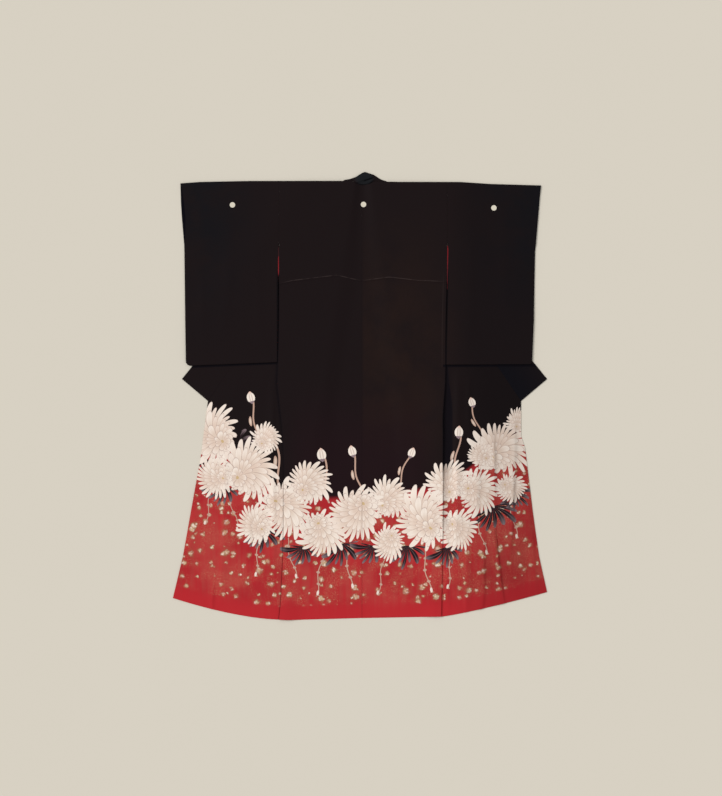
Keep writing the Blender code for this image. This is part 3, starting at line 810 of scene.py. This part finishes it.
def rgb(*numbers):
    """A colour from its red, green and blue on a screen, 0 to 255."""
    shares = [(c / 255 / 12.92) if c < 10.3 else ((c / 255 + 0.055) / 1.055) ** 2.4 for c in numbers]
    return (*shares, 1.0)


CREAM = rgb(243, 229, 216)
CREAM_SHADE = rgb(224, 203, 186)
PETAL_LINE = rgb(152, 122, 114)
BLUSH = rgb(232, 186, 168)
RED_HEM = rgb(183, 40, 46)
RED_LIGHT = rgb(177, 60, 57)
RED_DEEP_AND_SHADE = rgb(142, 30, 36)
GOLD = rgb(205, 176, 132)
GOLD_SHADE = rgb(150, 104, 74)
STEM = rgb(193, 158, 140)
INK = rgb(38, 26, 30)
INK_PALE = rgb(142, 122, 126)
BLACK = rgb(25, 17, 18)
BLACK_WARM = rgb(34, 22, 19)
BLACK_COOL = rgb(17, 16, 20)
BLACK_RUDDY = rgb(31, 16, 20)
BLACK_SHADE_RIGHT = rgb(3, 3, 6)
COLLAR_END_SHADE = rgb(10, 9, 15)
NECK_SHEEN = rgb(24, 27, 30)
FOLD_SHADOW = rgb(4, 4, 7)
ARMHOLE_SHADOW = rgb(4, 3, 7)
CUFF_SHADOW = rgb(4, 3, 12)
SLEEVE_SHADOW = rgb(5, 3, 9)
VALLEY_SHADOW = rgb(10, 7, 14)
SEAM_SHADOW = rgb(60, 14, 18)
PAINTED_SHEEN = rgb(150, 130, 125)
UNDYED = rgb(216, 208, 190)
LINING = rgb(140, 16, 28)
LINING_LIGHT = rgb(164, 26, 36)
LINING_SHADOW = rgb(30, 8, 12)
PAPER = rgb(215, 208, 194)
PAPER_LIGHT = rgb(216, 209, 195)


def new_material(name, roughness, specular, paint):
    """A material. paint gives its colour and its surface's height, with the height's strength and distance."""
    material = bpy.data.materials.new(name)
    material.use_nodes = True
    shader = material.node_tree.nodes["Principled BSDF"]
    shader.inputs["Roughness"].default_value = roughness
    shader.inputs["Specular IOR Level"].default_value = specular
    place = Value(material.node_tree, shader.outputs[0]).node("ShaderNodeTexCoord", output=3)
    colour, height, strength, distance = paint(place)
    material.node_tree.links.new(colour.socket, shader.inputs["Base Color"])
    bump = colour.node("ShaderNodeBump", named=[("Strength", strength), ("Distance", distance), ("Height", height)])
    material.node_tree.links.new(bump.socket, shader.inputs["Normal"])
    return material


def crepe(place):
    """Height of the crinkled weave of crepe silk."""
    stretched = place.vector("MULTIPLY", (1.0, 0.6, 1.0))
    return stretched.noise(1150.0, 3.0, 0.6) + 0.35 * stretched.noise(420.0, 1.0)


def black_tone(place):
    """Black dye, uneven: warm right of the seam, cooler towards the sleeves and ruddy low in the middle; painted
    shade darkens it towards the right.
    """
    x, y, _ = place.parts()
    cloudy = place.noise(7.0, 4.0, 0.6)
    warm = abs(x - 0.12).soft(0.34, 0.0) * abs(y - 0.05).soft(0.75, 0.1)
    warm = warm * cloudy.soft(0.25, 0.65) * x.soft(0.004, 0.016)
    cool = abs(x - 0.02).soft(0.30, 0.62) * y.soft(0.1, 0.7) * cloudy.soft(0.75, 0.35)
    tone = cool.blend(warm.blend(BLACK, BLACK_WARM), BLACK_COOL)
    ruddy = abs(x).soft(0.30, 0.18) * y.soft(0.10, -0.25)
    tone = (ruddy * 0.8).blend(tone, BLACK_RUDDY)
    # Painted shade: the black grows darker towards the right side.
    return (x.soft(0.30, 0.42) * 0.22).blend(tone, BLACK_SHADE_RIGHT)


def under_sleeves(colour, x, y):
    """The narrow shadow that the sleeves' bottoms throw on what lies under them."""
    below = mix(0.1230, 0.1085, (abs(x) - 0.30) / 0.33) - y
    right = mix(0.1125, 0.1137, (x - 0.31) / 0.31) - y
    below = (x > 0.0).choose(below, right)
    beside = (abs(x) > 0.30) * (below > -0.001) * (y > 0.0)
    return (below.soft(0.0110, 0.005) * beside * 0.9).blend(colour, SLEEVE_SHADOW)


def petals(place, count, reach, twist, pointed, offset, aside=0.0):
    """A ring of petals: how far inside it a point is, its place across its petal and that petal's own number."""
    u, v, size = place.parts()
    u = u + aside
    radius = (u * u + v * v).math("SQRT")
    turn = v.math("ARCTAN2", u)
    sway = (turn * 3.0 + size * 80.0).math("SINE") * 0.3
    along = turn * (count / (2 * math.pi)) + radius * twist + sway + offset
    cell = (along.math("FLOOR") + 0.5).math("FLOORED_MODULO", float(count)).math("ROUND")
    cell = cell + (size * 3000.0).math("ROUND")
    own = cell.node("ShaderNodeTexWhiteNoise", None, cell, noise_dimensions="1D")
    across = abs(along.math("FRACT") - 0.5) * 2.0
    uneven = 0.93 + (turn * 2.0 + size * 170.0).math("SINE") * 0.07
    edge = (1.0 - own * 0.26) * uneven * reach * (1.0 - pointed * across**2.4)
    return edge - radius, across, own, radius


def lay(painted, mask, shade):
    """Lays a shade over what is painted so far, where the mask is 1. What is painted is a colour and its cover."""
    colour, cover = painted
    return mask.blend(colour, shade), mask.math("MAXIMUM", cover)


# Rings of petals from the outer one in: how many, how far they reach, their twist, how deep the gaps between
# their tips are, their first petal's turn, and how far the ring's middle is off to one side
BLOSSOM_RINGS = (
    (24, 1.00, 1.9, 0.44, 0.0, 0.0),
    (20, 0.76, 1.5, 0.38, 0.35, 0.13),
    (15, 0.53, 1.1, 0.36, 0.7, 0.25),
    (10, 0.31, 0.7, 0.34, 0.2, 0.36),
)


def paint_blossom(painted, place):
    """Lays a many-petalled blossom over what is painted."""
    for count, reach, twist, pointed, offset, aside in BLOSSOM_RINGS:
        inside, across, own, radius = petals(place, count, reach, twist, pointed, offset, aside)
        petal = radius.soft(reach * 0.34, reach * 0.80).blend(CREAM_SHADE, CREAM)
        petal = (own * 0.12).blend(petal, BLUSH)
        hair = (across * 9.0).math("SINE").soft(0.80, 1.0) * 0.20
        rim = (1.0 - inside.soft(0.006, 0.022)) + across.soft(0.86, 0.99) * 0.9 + hair
        petal = (rim * (0.72 if reach < 1 else 0.40)).math("MINIMUM", 0.75).blend(petal, PETAL_LINE)
        painted = lay(painted, inside > 0.0, petal)
    return lay(painted, radius + own * 0.03 < 0.055, GOLD)


def paint_leaves(painted, place):
    """Lays a spray of narrow ink leaves over what is painted."""
    inside, across, own, radius = petals(place, 17, 1.0, 0.9, 0.9, 0.2)
    u = place.parts()[0]
    leaf = (radius + own * 0.35).soft(0.60, 1.20).blend(INK, INK_PALE)
    leaf = (across.soft(0.14, 0.04) * 0.4).blend(leaf, INK_PALE)
    return lay(painted, (inside > 0.0) * ((u / radius) > 0.1), leaf)


def paint_stems(painted, place):
    """Lays slender bent stems over what is painted: pale ones that rise to a long bud, and thin falling ones."""
    u, v, size = place.parts()
    rising = size > 0.0
    bend = (u * 2.5 + size * 90.0).math("SINE") * 0.13 * (1.0 - u * u)
    off = abs(v - bend)
    leaflets = (u * 13.0 + size * 50.0).math("SINE").soft(0.72, 1.0) * (1.0 - rising) * 0.055
    painted = lay(painted, (off < 0.020 + rising * 0.010 + leaflets) * (abs(u) < 0.93), STEM)
    leaf = (((u + 0.15) * 1.3) ** 2.0 + ((v - bend - 0.12) * 4.2) ** 2.0).math("SQRT")
    painted = lay(painted, (leaf < 0.24) * rising, leaf.soft(0.05, 0.24).blend(CREAM_SHADE, STEM))
    length = 0.12 + rising * 0.12
    part = abs(u - 0.94 + length) / length
    width = (1.0 - part**2.2).math("MAXIMUM", 0.0) * (0.05 + rising * 0.10)
    shade = ((abs(v) / (width + 0.001) * 5.2).math("SINE").soft(0.6, 1.0) * 0.45).blend(CREAM, PETAL_LINE)
    shade = (part * (u > 0.7)).soft(0.5, 1.1).blend(shade, BLUSH)
    shade = ((part > 0.55) * (u < 0.7) * rising).blend(shade, INK_PALE)
    return lay(painted, (abs(v) < width) * (part < 1.0), shade)


def red_ground(place, above_border, above_hem):
    """Red dye, uneven and plainer at the hem, with gold-beige flecks and fine gold dust, and darker towards the
    right with painted shade. Gives its colour, and how far a point is above its soft border."""
    x = place.parts()[0]
    flat = place.vector("MULTIPLY", (1.0, 1.0, 0.0))
    streaks = flat.vector("MULTIPLY", (60.0, 4.0, 1.0)).noise(1.0, 3.0, 0.6)
    cloudy = flat.noise(5.0, 3.0, 0.55)
    ground = (streaks * 0.55 + cloudy * 0.45).soft(0.38, 0.62).blend(RED_HEM, RED_LIGHT)
    # Deeper red in cloudy patches of the dye, and towards the right as painted shade.
    ground = ((x.soft(0.2, 0.65) * 0.20) + cloudy.soft(0.62, 0.40) * 0.35).blend(ground, RED_DEEP_AND_SHADE)
    # The plainer hem band, darker towards the right with painted shade.
    low = (above_hem + streaks * 0.03).soft(0.100, 0.035) * 0.9
    ground = low.blend(ground, (x.soft(0.2, 0.7) * 0.25).blend(RED_HEM, RED_DEEP_AND_SHADE))
    below = (above_border < -0.03) * (above_hem - cloudy * 0.03).soft(0.030, 0.045)
    grain = flat.noise(330.0, 3.0, 0.7)
    dust = grain.soft(0.54, 0.64) * (flat.noise(13.0, 2.0).soft(0.42, 0.64) + x.soft(0.3, 0.5) * 0.3) * below
    ground = (dust * 0.55).math("MINIMUM", 0.7).blend(ground, GOLD)
    shift = flat.node("ShaderNodeTexNoise", flat, None, 85.0, 3.0, output=1)
    warped = flat.vector("ADD", shift.vector("MULTIPLY", (0.020, 0.014, 0.0)))
    for scale, low, high, share in ((17.0, 0.07, 0.12, 0.15), (27.0, 0.05, 0.16, 0.45)):
        cells = warped.node("ShaderNodeTexVoronoi", warped, None, scale, voronoi_dimensions="2D")
        own = Value(cells.tree, cells.socket.node.outputs[1]).parts()
        size = low + own[0] * high
        there = (own[1] > share) * below
        halo = cells.soft(size * 2.6, size) * grain.soft(0.50, 0.60) * there
        ground = (halo * 0.55).blend(ground, GOLD_SHADE)
        fleck = (cells + (grain - 0.5) * 0.35).soft(size + 0.05, size - 0.02) * there
        tint = (cells / size).soft(0.3, 1.0).blend(GOLD, GOLD_SHADE)
        light = flat.noise(95.0 + scale, 2.0).soft(0.50, 0.60) * (1.0 - (cells / size).soft(0.6, 1.3))
        tint = (grain.soft(0.47, 0.60) * 0.35 + light * 0.75).math("MINIMUM", 0.9).blend(tint, CREAM)
        ground = (fleck * (0.55 + own[2] * 0.4)).blend(ground, tint)
    return ground, above_border + (cloudy - 0.5) * 0.05


def dyed_silk(place):
    """Black above, a red ground below with gold flecks, and blossoms, leaves and stems along their border. Painted
    shade darkens it towards the right, in the valley right of the back, beside the back's edges, under the sleeves
    and along the low back seam, and a faint painted sheen lies on a pressed fold and the waist tuck.
    """
    painted = CREAM, 0.0
    for kind, paint in (("stems", paint_stems), ("leaves", paint_leaves), ("blossoms", paint_blossom)):
        for layer in LAYERS[kind]:
            painted = paint(painted, place.attribute(layer))
    above_border, above_hem, _ = place.attribute("field").parts()
    ground, edge = red_ground(place, above_border, above_hem)
    colour = edge.soft(-0.012, 0.012).blend(ground, black_tone(place))
    colour = painted[1].blend(colour, painted[0])
    x, y, _ = place.parts()
    # Painted shade: all of the dyed cloth grows darker towards the right.
    colour = (x.soft(0.30, 0.50) * 0.24).blend(colour, (0.0, 0.0, 0.0, 1.0))
    seam = abs(x - CENTRE_X).soft(0.0026, 0.0006) * y.soft(-0.30, -0.40) * 0.22
    colour = seam.blend(colour, SEAM_SHADOW)
    colour = roundel(colour, place, BACK_SPOT)
    right, left, _ = place.attribute("beside").parts()
    valley = (right > 0.0) * (x + y.soft(-0.06, 0.11) * 0.018).soft(0.337, 0.331)
    valley = valley * y.soft(-0.31, -0.26) * y.soft(0.14, 0.10) * (0.78 - painted[1] * 0.62)
    shadow = (right > 0.0) * right.soft(0.030, 0.004) * y.soft(-0.52, -0.44) * 0.3
    colour = under_sleeves(colour, x, y)
    line = (left > 0.0) * (
        left.soft(0.012, 0.001) * y.soft(-0.25, 0.0) + left.soft(0.005, 0.001) * y.soft(-0.26, -0.31)
    )
    from_edge, from_tuck, from_centre = place.attribute("lines").parts()
    line = line + from_edge.soft(0.0045, 0.0015) * y.soft(-0.32, -0.26) * y.soft(0.44, 0.38) * 0.9
    colour = (valley + shadow + line * 0.5).math("MINIMUM", 0.8).blend(colour, VALLEY_SHADOW)
    # Painted sheen along a pressed fold on the right of the back and along the ridge of the waist tuck.
    sheen = abs(from_edge - 0.0125).soft(0.0030, 0.0)
    sheen = sheen * y.soft(0.08, 0.16) * y.soft(0.46, 0.38) * (x > 0.0)
    tuck = abs(from_tuck - 0.0014).soft(0.0020, 0.0) * from_centre.soft(0.001, 0.03)
    tuck = tuck * from_edge.soft(0.0, 0.06)
    sheen = sheen * 0.022 + tuck * 0.10 * place.noise(24.0, 3.0, 0.7).soft(0.32, 0.58)
    colour = sheen.blend(colour, PAINTED_SHEEN)
    return colour, crepe(place), 0.5, 0.0003


def roundel(colour, place, centre, above=-1.0):
    """A blank round spot left undyed, on what lies higher than above."""
    x, y, z = place.parts()
    across = ((x - centre[0]) ** 2.0 + (y - centre[1]) ** 2.0).math("SQRT")
    return ((across < SPOT_RADIUS) * (z > above)).blend(colour, UNDYED)


def black_silk(place):
    """Black silk, with a painted sheen at the neck, painted shadow along the crease of its fold there and under its
    lip, and painted shade on the right collar end, beside both armholes, inside the left cuff and under the
    sleeves."""
    x, y, z = place.parts()
    colour = black_tone(place)
    # Painted shade on the right collar end, below the right sleeve.
    end_shade = (y < 0.115) * x.soft(0.49, 0.50) * ((x - 0.50) * 0.83 + y * 0.56).soft(0.25, 0.06)
    colour = (end_shade * 0.95).blend(colour, COLLAR_END_SHADE)
    # Painted sheen: the crown of the collar at the neck is lighter and bluish.
    crown = (((x - 0.0162) / 0.034) ** 2.0 + ((y - 0.784) / 0.024) ** 2.0).soft(1.3, 0.5) * (y < 0.81)
    colour = (crown * 0.8).blend(colour, NECK_SHEEN)
    crease = abs(y - 0.7767 - (x - 0.0152) * 0.34).soft(0.0030, 0.0010)
    crease = crease * x.soft(0.010, 0.018) * x.soft(0.052, 0.044) * (y > 0.76)
    lip = abs(y - 0.7618 - (x - 0.0140) ** 2.0 * 11.0).soft(0.0030, 0.0008) * crown.soft(0.0, 0.2) * 0.7
    colour = (crease + lip).math("MINIMUM", 0.85).blend(colour, FOLD_SHADOW)
    armhole = (x < 0.0).choose(x - 0.3096 - (y - 0.112) * 0.0218, -0.2975 - x)
    colour = (armhole.soft(0.0042, 0.0020) * y.soft(0.47, 0.43) * (y > 0.10) * 0.75).blend(colour, ARMHOLE_SHADOW)
    inside = (z < 0.0026) * (x < -0.60) * (y > 0.54)
    colour = (inside * 0.85).blend(colour, CUFF_SHADOW)
    colour = (z < 0.003).blend(colour, under_sleeves(colour, x, y))
    for centre in SLEEVE_SPOTS:
        colour = roundel(colour, place, centre, 0.0035)
    return colour, crepe(place), 0.5, 0.0003


def lining_silk(place):
    """Plain red silk, with painted shadow where it goes into the slit between sleeve and body."""
    cloudy = place.noise(14.0, 3.0)
    colour = cloudy.soft(0.35, 0.7).blend(LINING, LINING_LIGHT)
    x, y, z = place.parts()
    # Painted shadow on the lining inside the slit, deepest near its top.
    in_slit = (z > 0.003) * (abs(x) > 0.285) * (y > 0.28)
    slit_shade = (x > 0.0) * y.soft(0.515, 0.42) * 0.55
    slit_shade = slit_shade + (x < 0.0) * (y.soft(0.500, 0.508) + y.soft(0.450, 0.42)) * 0.95 + 0.12
    colour = (in_slit * slit_shade).math("MINIMUM", 0.9).blend(colour, LINING_SHADOW)
    threads = place.vector("MULTIPLY", (3200.0, 3200.0, 1.0)).vector("SINE").parts()
    return colour, threads[0] * threads[1] + place.noise(300.0), 0.2, 0.0002


def floor_paper(place):
    return place.noise(3.0).blend(PAPER, PAPER_LIGHT), place.noise(60.0), 0.02, 0.001


dyed = new_material("dyed silk", 0.62, 0.05, dyed_silk)
black = new_material("black silk", 0.62, 0.05, black_silk)
lining = new_material("red lining silk", 0.5, 0.2, lining_silk)

for name in ("left", "right"):
    make_back(name, [dyed, lining])
    make_front(name, [dyed, lining])
    make_overlap(name, [dyed, lining])
    make_sleeve(name, [black, lining])
    make_lining(name, lining)
make_collar([black])

# Floor, light and camera
mesh = bpy.data.meshes.new("floor")
mesh.from_pydata([(x, y, FLOOR_Z) for x, y in ((-8, -8), (8, -8), (8, 8), (-8, 8))], [], [(0, 1, 2, 3)])
floor = new_object("floor", mesh)
mesh.materials.append(new_material("floor", 0.95, 0.0, floor_paper))

world = bpy.data.worlds.new("studio")
bpy.context.scene.world = world
world.use_nodes = True
world.node_tree.nodes["Background"].inputs["Color"].default_value = (1, 1, 1, 1)
world.node_tree.nodes["Background"].inputs["Strength"].default_value = 0.62
sun = bpy.data.lights.new("window", "SUN")
sun.energy = 1.70
sun.angle = math.radians(30)
bpy.context.scene.view_settings.view_transform = "Standard"
new_object("window", sun).rotation_euler = (math.radians(-18), math.radians(-42), 0)

# The picture's longer side, its height, fills the sensor
METRES_PER_PIXEL = 1.30 / 360
PICTURE_HEIGHT = 796 * METRES_PER_PIXEL
camera = bpy.data.cameras.new("camera")
camera.lens = 100
camera.sensor_width = 36
camera_object = new_object("camera", camera)
away = PICTURE_HEIGHT * camera.lens / camera.sensor_width
camera_object.location = (METRES_PER_PIXEL, -2 * METRES_PER_PIXEL, away)
bpy.context.scene.camera = camera_object
